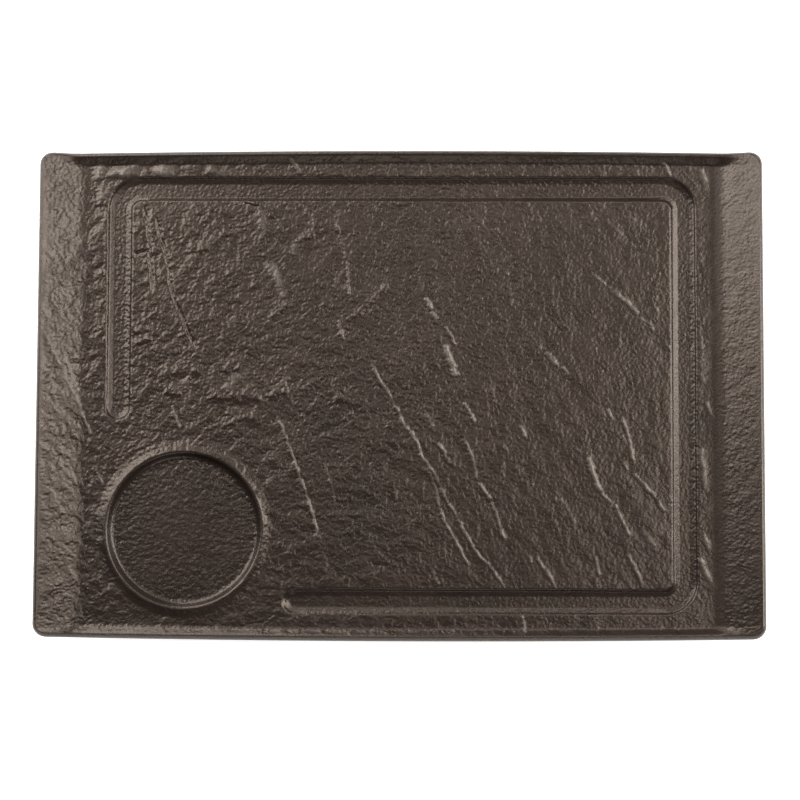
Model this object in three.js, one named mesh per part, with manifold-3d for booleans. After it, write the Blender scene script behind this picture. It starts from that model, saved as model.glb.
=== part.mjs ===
// Serving platter of fired ceramic: a shallow tray with a lip along each long side, winged ends
// to lift it by, a juice groove round the serving floor and a collared seat for a dip bowl.
// It stands on four soft pads, each bonded into a pocket of its foot.
// Millimetres, +Z up. The origin lies on the table, under the middle of the platter.

import * as THREE from "three";
import { mergeVertices } from "three/addons/utils/BufferGeometryUtils.js";
import Module from "manifold-3d";

// Plan of the platter
const LENGTH = 330; // along X, from wing tip to wing tip
const WIDTH = 224.4; // along Y, from lip to lip at the middle
const SIDE_BOW = 1.5; // how far each long side bulges between its ends
const CORNER_RADIUS = 6;

// Tray
const FLOOR_THICKNESS = 6.8;
const LIP_HEIGHT = 3; // above the floor
const LIP_CREST = 2.1; // from the rim to the top of the lip's inner slope
const LIP_SLOPE = 3.2; // width of that slope
const RIM_THICKNESS = 4.5;
const RIM_NOSE = 1.8; // how far in from the edge the rim's rounding starts
const TIP_FLAT = 0.8; // height of the flat left at the end of a wing's rounding
const UNDERCUT = 22; // width of the hollow curve under each long side

// Wings
const WING_WIDTH = 20;
const WING_ANGLE = THREE.MathUtils.degToRad(25);
const WING_FILLET = 8; // radius of the crease between floor and wing

// Foot band under the floor
const FOOT_END_INSET = 34; // from the wing tip
const FOOT_SIDE_INSET = 26; // from the lip
const FOOT_BAND = 16;
const FOOT_CORNER = 18;
const FOOT_ROUND = 0.7;
const HOLLOW_DEPTH = 2; // of the hollow that the band surrounds
const HOLLOW_CORNER = 6;

// Soft pads
const PAD_DIAMETER = 10;
const PAD_HEIGHT = 2.5;
const PAD_ROUND = 0.6;
const POCKET_DEPTH = 1.3;
const POCKET_CLEARANCE = 0.3; // all round the pad

// Juice groove
const GROOVE_WIDTH = 12;
const GROOVE_BED = 6.4; // width of its level bed
const GROOVE_DEPTH = 2.2;
const GROOVE_BEND = 9.5; // radius of its centreline at the corners
const GROOVE_END_INSET = 36.4; // from the wing tip to the centreline
const GROOVE_SIDE_INSET = 17.9; // from the lip to the centreline
const GROOVE_LAND_REAR = 9.3; // between the seat's collar and the left run's end
const GROOVE_LAND_FRONT = 4.8; // between the seat's collar and the front run's end

// Seat for a dip bowl, at the front left
const SEAT_DIAMETER = 64.5; // of its floor, at the foot of the wall
const SEAT_DEPTH = 3.2; // below the serving floor
const SEAT_WALL = 2.2; // width of its sloping wall
const SEAT_FILLET = 1.4; // length of the curve at the wall's foot, on either side
const SEAT_END_INSET = 67.2; // from the wing tip to its centre
const SEAT_SIDE_INSET = 50.7; // from the lip to its centre
const COLLAR_HEIGHT = 1.2; // above the serving floor
const COLLAR_ROUND = 1; // length of the curve at the wall's top, on either side
const COLLAR_CREST = 0.5; // width of the level top
const COLLAR_SLOPE = 4; // width of its outer slope

// Facets
const CURVE_STEPS = 4; // of a small curve
const BEND_STEPS = 8; // of a quarter turn
const END_FACETS = 24; // round a groove's end or a pad
const SEAT_FACETS = 72;
const SIDE_STEPS = 4; // of the bowed side, from its middle to a wing
const FOOT_ROUND_STEPS = 2;
const FOOT_BEND_STEPS = 4; // of an eighth of a turn

// Working tolerances
const MERGE_DISTANCE = 1e-4;
const STATION_GAP = 0.01; // the tray's sections lie further apart than this
const TOOL_STAND = 3; // how far a cutting tool stands above what it cuts

// Heights and places that follow from the sizes above
const footZ = PAD_HEIGHT - POCKET_DEPTH;
const baseZ = footZ + HOLLOW_DEPTH;
const floorZ = baseZ + FLOOR_THICKNESS;
const lipZ = floorZ + LIP_HEIGHT;
const collarZ = floorZ + COLLAR_HEIGHT;
const seatZ = floorZ - SEAT_DEPTH;
const wingSlope = Math.tan(WING_ANGLE);
const wingCrease = LENGTH / 2 - WING_WIDTH;
// The wing's underside starts further in, so that the wing tapers to the rim's thickness at its tip.
const underCrease = wingCrease - (FLOOR_THICKNESS - RIM_THICKNESS) / wingSlope;
const creaseLead = WING_FILLET * Math.tan(WING_ANGLE / 2);
const creaseLag = creaseLead * Math.cos(WING_ANGLE);
const footLength = LENGTH - 2 * FOOT_END_INSET;
const footWidth = WIDTH - 2 * FOOT_SIDE_INSET;
const seatX = SEAT_END_INSET - LENGTH / 2;
const seatY = SEAT_SIDE_INSET - WIDTH / 2;
const collarTopRadius = SEAT_DIAMETER / 2 + SEAT_WALL + COLLAR_ROUND + COLLAR_CREST;
const collarRadius = collarTopRadius + COLLAR_SLOPE;

const wasm = await Module();
wasm.setup();

// A closed geometry as a solid that can be joined and cut.
function solid(geometry) {
  const bare = new THREE.BufferGeometry();
  bare.setAttribute("position", geometry.getAttribute("position"));
  bare.setIndex(geometry.index);
  const merged = mergeVertices(bare, MERGE_DISTANCE);
  const corners = merged.index.array;
  const triangles = [];
  for (let i = 0; i < corners.length; i += 3) {
    const [a, b, c] = corners.slice(i, i + 3);
    if (a !== b && b !== c && c !== a) triangles.push(a, b, c);
  }
  const mesh = new wasm.Mesh({
    numProp: 3,
    vertProperties: merged.attributes.position.array,
    triVerts: new Uint32Array(triangles),
  });
  return new wasm.Manifold(mesh);
}

// A solid as a geometry.
function geometryOf(made) {
  const mesh = made.getMesh();
  const geometry = new THREE.BufferGeometry();
  geometry.setAttribute("position", new THREE.BufferAttribute(mesh.vertProperties, mesh.numProp));
  geometry.setIndex(new THREE.BufferAttribute(mesh.triVerts, 1));
  geometry.computeVertexNormals();
  return geometry;
}

// The skin through closed sections, which run anticlockwise as seen from the last one.
// All have the same number of points, and a section's first point sees all of its others.
function loft(sections) {
  const size = sections[0].length;
  const last = (sections.length - 1) * size;
  const index = [];
  for (let s = 0; s < last; s += size) {
    for (let i = 0; i < size; i++) {
      const a = s + i;
      const b = s + ((i + 1) % size);
      index.push(a, b, b + size, a, b + size, a + size);
    }
  }
  for (let i = 1; i + 1 < size; i++) {
    index.push(0, i + 1, i, last, last + i, last + i + 1);
  }
  return new THREE.BufferGeometry().setFromPoints(sections.flat()).setIndex(index);
}

// A solid turned about +Z, from a profile of radius and height that starts and ends on the axis.
function turned(profile, facets) {
  return new THREE.LatheGeometry(profile, facets).rotateX(Math.PI / 2);
}

// Values from the first to the last, evenly spaced.
function spread(first, last, steps) {
  return Array.from({ length: steps + 1 }, (_, i) => THREE.MathUtils.lerp(first, last, i / steps));
}

// A smooth change of height, as profile points from a near radius to a far one.
function ramp(near, far, first, last) {
  return spread(0, 1, CURVE_STEPS).map((t) => {
    const height = THREE.MathUtils.lerp(first, last, THREE.MathUtils.smoothstep(t, 0, 1));
    return new THREE.Vector2(THREE.MathUtils.lerp(near, far, t), height);
  });
}

// A profile whose last stretch runs on straight past its end, so that a tool cuts clean through a face.
function runOn(profile) {
  const [before, end] = profile.slice(-2);
  return [...profile.slice(0, -1), end.clone().multiplyScalar(2).sub(before)];
}

// A rectangle with round corners, about the origin.
function roundedRectangle(length, width, radius) {
  const x = length / 2 - radius;
  const y = width / 2 - radius;
  const quarter = Math.PI / 2;
  const shape = new THREE.Shape();
  shape.absarc(x, y, radius, 0, quarter);
  shape.absarc(-x, y, radius, quarter, 2 * quarter);
  shape.absarc(-x, -y, radius, 2 * quarter, 3 * quarter);
  shape.absarc(x, -y, radius, 3 * quarter, 4 * quarter);
  return shape;
}

// How far a wing has risen at a distance past its crease, which a fillet rounds.
function wingRise(past) {
  if (past <= -creaseLead) return 0;
  if (past >= creaseLag) return past * wingSlope;
  return WING_FILLET - Math.sqrt(WING_FILLET ** 2 - (past + creaseLead) ** 2);
}

// Half of the plan's width at x, with the bowed sides and the round corners.
function halfWidth(x) {
  const bowed = WIDTH / 2 - SIDE_BOW * (x / (LENGTH / 2)) ** 2;
  const past = Math.max(0, Math.abs(x) - (LENGTH / 2 - CORNER_RADIUS));
  return bowed - CORNER_RADIUS + Math.sqrt(Math.max(0, CORNER_RADIUS ** 2 - past ** 2));
}

// The share of the rim's thickness that is left where a wing's tip is rounded.
function tipShare(x) {
  const past = Math.max(0, Math.abs(x) - (LENGTH / 2 - RIM_NOSE)) / RIM_NOSE;
  return Math.max(Math.sqrt(Math.max(0, 1 - past ** 2)), TIP_FLAT / RIM_THICKNESS);
}

// One closed section of the tray, square to X.
function traySection(x) {
  const half = halfWidth(x);
  const floor = floorZ + wingRise(Math.abs(x) - wingCrease);
  const under = baseZ + wingRise(Math.abs(x) - underCrease);
  const rim = Math.max(lipZ, floor);
  const nose = rim - RIM_THICKNESS / 2;
  const side = [];
  // Up the hollow curve under the side
  for (const t of spread(0, 1, CURVE_STEPS)) {
    const y = THREE.MathUtils.lerp(half - UNDERCUT, half - RIM_NOSE, t);
    side.push([y, THREE.MathUtils.lerp(under, rim - RIM_THICKNESS, t * t)]);
  }
  // Round the rim's nose
  for (const angle of spread(-Math.PI / 2, Math.PI / 2, 2 * CURVE_STEPS).slice(1)) {
    const y = half - RIM_NOSE + RIM_NOSE * Math.cos(angle);
    side.push([y, nose + (RIM_THICKNESS / 2) * Math.sin(angle)]);
  }
  // Down the lip's inner slope to the floor
  for (const point of ramp(half - LIP_CREST, half - LIP_CREST - LIP_SLOPE, rim, floor)) {
    side.push([point.x, point.y]);
  }
  const share = tipShare(x);
  const rear = side.map(([y, z]) => new THREE.Vector3(x, y, nose + (z - nose) * share));
  const front = rear.map((point) => new THREE.Vector3(x, -point.y, point.z));
  return [...rear, ...front.reverse()];
}

// The tray: sections at its middle, along its sides, at the creases, where a wing passes the lip's
// height and round the corners.
function tray() {
  const corner = spread(0, Math.PI / 2, BEND_STEPS).map(
    (angle) => LENGTH / 2 - CORNER_RADIUS * (1 - Math.sin(angle)),
  );
  const right = [
    ...spread(0, underCrease - creaseLead, SIDE_STEPS),
    ...spread(underCrease - creaseLead, underCrease + creaseLag, CURVE_STEPS),
    ...spread(wingCrease - creaseLead, wingCrease + creaseLag, CURVE_STEPS),
    wingCrease + LIP_HEIGHT / wingSlope,
    ...corner,
  ];
  const both = [...right.map((x) => -x), ...right].sort((a, b) => a - b);
  const stations = both.filter((x, i) => i === 0 || x - both[i - 1] > STATION_GAP);
  return loft(stations.map(traySection));
}

// The foot band, let half-way into the floor above it.
function footBand() {
  const grow = 2 * FOOT_ROUND;
  const band = roundedRectangle(footLength - grow, footWidth - grow, FOOT_CORNER - FOOT_ROUND);
  const hollow = roundedRectangle(
    footLength - 2 * FOOT_BAND + grow,
    footWidth - 2 * FOOT_BAND + grow,
    HOLLOW_CORNER + FOOT_ROUND,
  );
  band.holes.push(hollow);
  const extruded = new THREE.ExtrudeGeometry(band, {
    depth: HOLLOW_DEPTH + FLOOR_THICKNESS / 2 - grow,
    bevelThickness: FOOT_ROUND,
    bevelSize: FOOT_ROUND,
    bevelSegments: FOOT_ROUND_STEPS,
    curveSegments: FOOT_BEND_STEPS,
  });
  return extruded.translate(0, 0, footZ + FOOT_ROUND);
}

// The collar round the seat, as a low mound that the seat is then cut into.
function collar() {
  const slope = runOn(ramp(collarTopRadius, collarRadius, collarZ, floorZ));
  const skirt = slope[slope.length - 1].x;
  const profile = [
    new THREE.Vector2(0, seatZ),
    new THREE.Vector2(skirt, seatZ),
    ...slope.reverse(),
    new THREE.Vector2(0, collarZ),
  ];
  return turned(profile, SEAT_FACETS).translate(seatX, seatY, 0);
}

// The tool that cuts the seat: a level floor, a sloping wall and a rounded top edge.
function seatTool() {
  const foot = new THREE.Vector2(SEAT_DIAMETER / 2, seatZ);
  const crest = new THREE.Vector2(foot.x + SEAT_WALL, collarZ);
  const along = crest.clone().sub(foot).normalize();
  const wallFoot = foot.clone().addScaledVector(along, SEAT_FILLET);
  const wallTop = crest.clone().addScaledVector(along, -COLLAR_ROUND);
  const path = new THREE.Path();
  path.moveTo(0, seatZ);
  path.lineTo(foot.x - SEAT_FILLET, seatZ);
  path.quadraticCurveTo(foot.x, foot.y, wallFoot.x, wallFoot.y);
  path.lineTo(wallTop.x, wallTop.y);
  path.quadraticCurveTo(crest.x, crest.y, crest.x + COLLAR_ROUND, collarZ);
  const profile = runOn(path.getPoints(CURVE_STEPS));
  const mouth = profile[profile.length - 1].x;
  profile.push(new THREE.Vector2(mouth, collarZ + TOOL_STAND), new THREE.Vector2(0, collarZ + TOOL_STAND));
  return turned(profile, SEAT_FACETS).translate(seatX, seatY, 0);
}

// Half of the groove's section, from its bed out to its edge and up to the top of the tool.
function grooveHalf() {
  const bedZ = floorZ - GROOVE_DEPTH;
  const wall = runOn(ramp(GROOVE_BED / 2, GROOVE_WIDTH / 2, bedZ, floorZ));
  const mouth = wall[wall.length - 1].x;
  return [...wall, new THREE.Vector2(mouth, floorZ + TOOL_STAND)];
}

// The tool that cuts the groove. It runs up the left side, along the rear, down the right side and
// along the front, and has round ends beside the seat's collar.
function grooveTool() {
  const sideX = LENGTH / 2 - GROOVE_END_INSET;
  const sideY = WIDTH / 2 - GROOVE_SIDE_INSET;
  const endGap = collarRadius + GROOVE_WIDTH / 2;
  const start = new THREE.Vector2(-sideX, seatY + endGap + GROOVE_LAND_REAR);
  const end = new THREE.Vector2(seatX + endGap + GROOVE_LAND_FRONT, -sideY);
  const half = grooveHalf();
  const top = new THREE.Vector2(0, floorZ + TOOL_STAND);
  const mirrored = half.map((point) => new THREE.Vector2(-point.x, point.y));
  const section = [top, ...mirrored.reverse(), ...half];

  // The section stands square to the route, whose heading is an angle from +X.
  const placed = (at, heading) => {
    const left = new THREE.Vector2(0, 1).rotateAround(new THREE.Vector2(), heading);
    return section.map((p) => new THREE.Vector3(at.x + p.x * left.x, at.y + p.x * left.y, p.y));
  };
  const quarter = Math.PI / 2;
  const bendX = sideX - GROOVE_BEND;
  const bendY = sideY - GROOVE_BEND;
  const centres = [
    new THREE.Vector2(-bendX, bendY),
    new THREE.Vector2(bendX, bendY),
    new THREE.Vector2(bendX, -bendY),
  ];
  const stations = [placed(start, quarter)];
  centres.forEach((centre, turn) => {
    const first = (2 - turn) * quarter;
    for (const angle of spread(first, first - quarter, BEND_STEPS)) {
      const out = new THREE.Vector2(GROOVE_BEND, 0).rotateAround(new THREE.Vector2(), angle);
      stations.push(placed(out.add(centre), angle - quarter));
    }
  });
  stations.push(placed(end, -2 * quarter));

  const bed = new THREE.Vector2(0, floorZ - GROOVE_DEPTH);
  const round = [bed, ...half, top];
  const ends = [start, end].map((at) => turned(round, END_FACETS).translate(at.x, at.y, 0));
  return ends.reduce((tool, piece) => tool.add(solid(piece)), solid(loft(stations)));
}

// Where the pads sit: in the middle of the foot band at its corners.
function padPlaces() {
  const diagonal = 1 - Math.SQRT1_2;
  const inset = (FOOT_CORNER * diagonal + FOOT_BAND + HOLLOW_CORNER * diagonal) / 2;
  const x = footLength / 2 - inset;
  const y = footWidth / 2 - inset;
  return [
    ["pad_front_left", -x, -y],
    ["pad_front_right", x, -y],
    ["pad_rear_left", -x, y],
    ["pad_rear_right", x, y],
  ];
}

// A pad: a disc with a rounded lower edge.
function pad() {
  const radius = PAD_DIAMETER / 2;
  const path = new THREE.Path();
  path.moveTo(0, 0);
  path.lineTo(radius - PAD_ROUND, 0);
  path.quadraticCurveTo(radius, 0, radius, PAD_ROUND);
  path.lineTo(radius, PAD_HEIGHT);
  path.lineTo(0, PAD_HEIGHT);
  return turned(path.getPoints(CURVE_STEPS), END_FACETS);
}

// The tool that cuts a pad's pocket, whose ceiling meets the pad's top.
function pocketTool(x, y) {
  const radius = PAD_DIAMETER / 2 + POCKET_CLEARANCE;
  const profile = [
    new THREE.Vector2(0, -TOOL_STAND),
    new THREE.Vector2(radius, -TOOL_STAND),
    new THREE.Vector2(radius, PAD_HEIGHT),
    new THREE.Vector2(0, PAD_HEIGHT),
  ];
  return turned(profile, END_FACETS).translate(x, y, 0);
}

function platterBody() {
  let body = solid(tray()).add(solid(footBand())).add(solid(collar()));
  body = body.subtract(solid(seatTool())).subtract(grooveTool());
  for (const [, x, y] of padPlaces()) body = body.subtract(solid(pocketTool(x, y)));
  const slate = new THREE.MeshStandardMaterial({ color: 0x4b433e, roughness: 0.5, metalness: 0 });
  const mesh = new THREE.Mesh(geometryOf(body), slate);
  mesh.name = "platter_body";
  return mesh;
}

function softPad(name, x, y) {
  const silicone = new THREE.MeshStandardMaterial({ color: 0x2a2a2b, roughness: 0.8, metalness: 0 });
  const mesh = new THREE.Mesh(pad(), silicone);
  mesh.name = name;
  mesh.position.set(x, y, 0);
  return mesh;
}

const platter = new THREE.Group();
platter.add(platterBody());
for (const [name, x, y] of padPlaces()) platter.add(softPad(name, x, y));

export default platter;
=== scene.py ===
import math

import bpy
import numpy as np
from mathutils import Matrix, Vector
from mathutils.geometry import delaunay_2d_cdt


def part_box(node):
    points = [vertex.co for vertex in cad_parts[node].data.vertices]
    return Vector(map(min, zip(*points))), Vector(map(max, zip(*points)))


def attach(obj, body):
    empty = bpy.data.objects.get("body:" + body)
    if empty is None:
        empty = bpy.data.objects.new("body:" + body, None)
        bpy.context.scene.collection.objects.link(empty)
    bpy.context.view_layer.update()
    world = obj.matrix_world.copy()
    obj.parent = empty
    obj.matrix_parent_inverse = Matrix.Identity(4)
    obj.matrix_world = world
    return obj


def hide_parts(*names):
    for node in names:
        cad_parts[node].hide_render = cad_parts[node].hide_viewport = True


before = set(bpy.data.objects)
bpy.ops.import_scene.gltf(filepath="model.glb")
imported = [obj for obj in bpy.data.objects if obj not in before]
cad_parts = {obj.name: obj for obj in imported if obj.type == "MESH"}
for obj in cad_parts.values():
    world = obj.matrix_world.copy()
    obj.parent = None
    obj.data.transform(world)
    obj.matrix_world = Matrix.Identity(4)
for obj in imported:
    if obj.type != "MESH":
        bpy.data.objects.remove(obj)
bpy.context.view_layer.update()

# Units: lengths are millimetres in the row frame unless a comment says metres, angles are degrees
MM = 0.001
SEED = 41

# Plan of the body, which fills its solid's box
body_low, body_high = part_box("platter_body")
LENGTH = (body_high.x - body_low.x) / MM
WIDTH = (body_high.y - body_low.y) / MM
SIDE_BOW = 1.5
CORNER_RADIUS = 6

# Floor, lips and rim
FLOOR_Z = 10
BASE_Z = 3.2
LIP_Z = 13
LIP_CREST = 2.1
LIP_SLOPE = 3.8
LIP_SOFTNESS = 0.65
FRONT_LIP_SLOPE = 3.4
FRONT_LIP_SOFTNESS = 0.85
RIM_THICKNESS = 4.5
RIM_NOSE = 1.8
RIM_BLEND = 1.6
NOSE_BEVEL = 0.45
FRONT_BEVEL = 0.35
UNDERCUT = 22

# Wings, with creases that are rounder on the top side than on the underside
WING_WIDTH = 20
WING_ANGLE = 25
WING_FILLET = 8
LEFT_WING_FILLET = 14
RIGHT_WING_FILLET = 18

# Foot, pockets and pads
FOOT_Z = 1.2
FOOT_END_INSET = 34
FOOT_SIDE_INSET = 26
FOOT_BAND = 16
FOOT_CORNER = 18
FOOT_ROUND = 0.7
FOOT_FILLET = 1.0
HOLLOW_CORNER = 6
POCKET_CLEARANCE = 0.3
PAD_NAMES = ("front_left", "front_right", "rear_left", "rear_right")
PAD_DIAMETER = 10
PAD_HEIGHT = 2.5
PAD_ROUND = 0.6
PAD_BEVEL = 0.2
PAD_DISH = 0.25
PAD_DISH_REACH = 0.45
PAD_SOLE_REACH = 0.6
PAD_CAP_RADIUS = 0.4

# Groove: distances from its centre line, and heights above its bed or below its edge
GROOVE_WIDTH = 12
GROOVE_DEPTH = 2.2
GROOVE_BEND = 9.5
GROOVE_END_INSET = 36.4
GROOVE_SIDE_INSET = 17.9
GROOVE_RIGHT_SHIFT = 0.9
GROOVE_LAND_REAR = 9.9
GROOVE_LAND_FRONT = 4.8
GROOVE_BED_HALF = 2.6
GROOVE_FOOT_HALF = 4.85
GROOVE_FOOT_RISE = 0.75
GROOVE_FRONT_FOOT_RISE = 1.25
GROOVE_WALL_HALF = 5.5
GROOVE_EDGE_HALF = 6.2
GROOVE_EDGE_DROP = 0.24
GROOVE_REAR_BED_HALF = 3.6
GROOVE_REAR_FOOT_HALF = 3.75
GROOVE_REAR_FOOT_RISE = 0.1
GROOVE_REAR_WALL_HALF = 5.7
GROOVE_REAR_EDGE_DROP = 0.06
GROOVE_WANDER = 0.06
GROOVE_WANDER_CELL = 2.6

# Round seat and its collar
SEAT_END_INSET = 67.2
SEAT_SIDE_INSET = 50.1
SEAT_FLOOR_RADIUS = 31.8
SEAT_DEPTH = 3.2
SEAT_FILLET = 2.4
SEAT_WALL_ANGLE = 76
COLLAR_HEIGHT = 1.2
COLLAR_ROUND = 1.4
COLLAR_CREST = 0.35
COLLAR_SLOPE = 3.6
COLLAR_HALFWAY = 0.35
COLLAR_REAR_STRETCH = 0.4

# Softening of the sections' corners
SECTION_SOFTNESS = 0.16
SECTION_REACH = 1.5
SECTION_SAMPLES = 9

# Places and heights that follow from the sizes above
GROOVE_X = LENGTH / 2 - GROOVE_END_INSET
GROOVE_RIGHT_X = GROOVE_X + GROOVE_RIGHT_SHIFT
GROOVE_Y = WIDTH / 2 - GROOVE_SIDE_INSET
SEAT_X = SEAT_END_INSET - LENGTH / 2
SEAT_Y = SEAT_SIDE_INSET - WIDTH / 2
lip_base = LIP_Z - RIM_BLEND**2 / (4 * (LIP_Z - FLOOR_Z))
wing_crease = LENGTH / 2 - WING_WIDTH
wing_slope = math.tan(math.radians(WING_ANGLE))
under_crease = wing_crease - (FLOOR_Z - BASE_Z - RIM_THICKNESS) / wing_slope
wall_turn = math.radians(SEAT_WALL_ANGLE)
seat_wall_foot = SEAT_FLOOR_RADIUS + SEAT_FILLET * math.sin(wall_turn)
seat_wall_rise = SEAT_DEPTH + COLLAR_HEIGHT - (SEAT_FILLET + COLLAR_ROUND) * (1 - math.cos(wall_turn))
seat_wall_head = seat_wall_foot + seat_wall_rise / math.tan(wall_turn)
seat_crest = seat_wall_head + COLLAR_ROUND * math.sin(wall_turn)
collar_top = seat_crest + COLLAR_CREST
collar_foot = collar_top + COLLAR_SLOPE
groove_start = SEAT_Y + collar_foot + GROOVE_LAND_REAR + GROOVE_WIDTH / 2
groove_stop = SEAT_X + collar_foot + GROOVE_LAND_FRONT + GROOVE_WIDTH / 2

# Mesh steps
PLAIN_STEP = 0.42
EDGE_STEP = 0.35
WALL_STEP = 0.24
GROOVE_MARGIN = 1
CREASE_MARGIN = 3
CORNER_STEPS = 9
NOSE_STEPS = 14
NOSE_CROWDING = 1.6
UNDER_STEPS = 14
ROUND_STEPS = 4
SEAT_PATCH = collar_foot + 1
SEAT_TURNS = 600
SEAT_DISC = SEAT_FLOOR_RADIUS - 0.8
SEAT_WALL_END = collar_top + 0.5
POCKET_TURNS = 48
PAD_TURNS = 64
MERGE_DISTANCE = 1e-6

# The photograph's frame and the camera that fits it
PHOTO_SIZE = 800
SENSOR = 36
FOCAL_PIXELS = 2415.2
CAMERA_DISTANCE = 1100
CAMERA_ELEVATION = 84.82
CAMERA_AZIMUTH = 13.62
CAMERA_ROLL = -13.455
CAMERA_AIM = np.array([0.25, -2.78, 10])


def direction_of(azimuth, elevation):
    """Unit vector at an azimuth counted from +X and an elevation."""
    level = math.cos(math.radians(elevation))
    turn = math.radians(azimuth)
    return np.array([level * math.cos(turn), level * math.sin(turn), math.sin(math.radians(elevation))])


def camera_axes():
    """The camera's right, up and backward directions in the row frame."""
    roll = math.radians(CAMERA_ROLL)
    back = direction_of(CAMERA_AZIMUTH - 90, CAMERA_ELEVATION)
    level = np.cross([0, 0, 1], back)
    level /= np.linalg.norm(level)
    upright = np.cross(back, level)
    right = math.cos(roll) * level + math.sin(roll) * upright
    up = math.cos(roll) * upright - math.sin(roll) * level
    return right, up, back


def on_floor(pixel):
    """The place on the serving floor that a pixel of the photograph shows."""
    right, up, back = camera_axes()
    eye = CAMERA_AIM + back * CAMERA_DISTANCE
    across = (pixel[0] - PHOTO_SIZE / 2) / FOCAL_PIXELS
    down = (pixel[1] - PHOTO_SIZE / 2) / FOCAL_PIXELS
    ray = right * across - up * down - back
    reach = (FLOOR_Z - eye[2]) / ray[2]
    return (eye + ray * reach)[:2]


# Seeded noise

NOISE_TABLE = 256
NOISE_GAIN = 1.5
WANDER_OCTAVES = 2
SWELL_OCTAVES = 3
SEEDS = {
    "grain": 11,
    "specks": 31,
    "lumps": 51,
    "bands": 61,
    "swell": 71,
    "layers": 101,
    "crease": 131,
    "groove": 141,
    "soft_lumps": 151,
    "seat": 171,
    "trace_height": 321,
}

# Noise that moves places about: reach, cell, and seeds along x and along y
SWAYS = {
    "grain": (0.5, 3, 21, 26),
    "lumps": (1.5, 8, 41, 46),
    "layers": (4, 15, 81, 91),
    "traces": (0.4, 3, 301, 311),
    "plates": (1.8, 6, 331, 341),
}


def quintic(share):
    """A blend from 0 to 1 with level ends and no bend at them."""
    return share**3 * (share * (share * 6 - 15) + 10)


def smoothstep(low, high, value):
    """A blend from 0 at low to 1 at high, with level ends."""
    share = np.clip((value - low) / (high - low), 0, 1)
    return share * share * (3 - 2 * share)


def cells_of(x, y):
    return np.floor(x).astype(int), np.floor(y).astype(int)


def noise(x, y, seed):
    """Smooth seeded noise of about -1 to 1, with cells one unit wide."""
    turns = np.random.default_rng(SEED + seed).uniform(0, 2 * math.pi, (NOISE_TABLE, NOISE_TABLE))
    cell_x, cell_y = cells_of(x, y)
    in_x = x - cell_x
    in_y = y - cell_y

    def corner(step_x, step_y):
        turn = turns[(cell_x + step_x) % NOISE_TABLE, (cell_y + step_y) % NOISE_TABLE]
        return np.cos(turn) * (in_x - step_x) + np.sin(turn) * (in_y - step_y)

    ease_x = quintic(in_x)
    near = corner(0, 0) + (corner(1, 0) - corner(0, 0)) * ease_x
    far = corner(0, 1) + (corner(1, 1) - corner(0, 1)) * ease_x
    return NOISE_GAIN * (near + (far - near) * quintic(in_y))


def fractal(x, y, cell, octaves, seed):
    """Noise with finer and weaker layers added."""
    total = np.zeros_like(x)
    for octave in range(octaves):
        size = cell / 2**octave
        total += noise(x / size, y / size, seed + octave) / 2**octave
    return total


def wander(x, y, cell, use):
    """Two-layered noise for a use that has its own seed."""
    return fractal(x, y, cell, WANDER_OCTAVES, SEEDS[use])


def swayed(x, y, use):
    """Places moved about by noise."""
    reach, cell, seed_x, seed_y = SWAYS[use]
    away_x = fractal(x, y, cell, WANDER_OCTAVES, seed_x)
    away_y = fractal(x, y, cell, WANDER_OCTAVES, seed_y)
    return x + reach * away_x, y + reach * away_y


# Plain shape of the body


def wing_rise(past, fillet):
    """How far a wing has risen at a distance past its crease, which a fillet rounds."""
    lead = fillet * math.tan(math.radians(WING_ANGLE / 2))
    bend = fillet - np.sqrt(np.maximum(fillet**2 - (past + lead) ** 2, 0))
    rise = np.where(past >= lead * math.cos(math.radians(WING_ANGLE)), past * wing_slope, bend)
    return np.where(past <= -lead, 0, rise)


def straight_half(x):
    """Half the platter's width at x, before the corners are rounded."""
    return WIDTH / 2 - SIDE_BOW * (x / (LENGTH / 2)) ** 2


def half_width(x, inset=0):
    """Half the width of the outline at x, or of a line that runs inset inside the outline."""
    radius = CORNER_RADIUS - inset
    past = np.clip(np.abs(x) - (LENGTH / 2 - CORNER_RADIUS), 0, radius)
    return straight_half(x) - CORNER_RADIUS + np.sqrt(radius**2 - past**2)


def from_side(x, y):
    """Distance in from the nearer long side."""
    return half_width(x) - np.abs(y)


def groove_distance(x, y):
    """Distance from the groove's centre line, which has three runs and a half; minus on the field's side."""
    over_x = np.where(x > 0, x - GROOVE_RIGHT_X, -x - GROOVE_X) + GROOVE_BEND
    over_y = np.abs(y) - (GROOVE_Y - GROOVE_BEND)
    outside = np.hypot(np.maximum(over_x, 0), np.maximum(over_y, 0))
    ring = outside + np.minimum(np.maximum(over_x, over_y), 0) - GROOVE_BEND
    to_start = np.hypot(x + GROOVE_X, y - groove_start)
    to_stop = np.hypot(x - groove_stop, y + GROOVE_Y)
    missing = (x < groove_stop) & (y < groove_start)
    return np.where(missing, np.minimum(to_start, to_stop), ring)


def section(distance, places, heights, softness=SECTION_SOFTNESS):
    """Height by distance from a centre or a line, through the given places with their corners softened."""
    total = np.zeros_like(distance)
    offsets = np.linspace(-SECTION_REACH, SECTION_REACH, SECTION_SAMPLES)
    weights = np.exp(-(offsets**2))
    for offset, weight in zip(offsets, weights / weights.sum()):
        total += weight * np.interp(np.abs(distance + softness * offset), places, heights)
    return total


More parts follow.
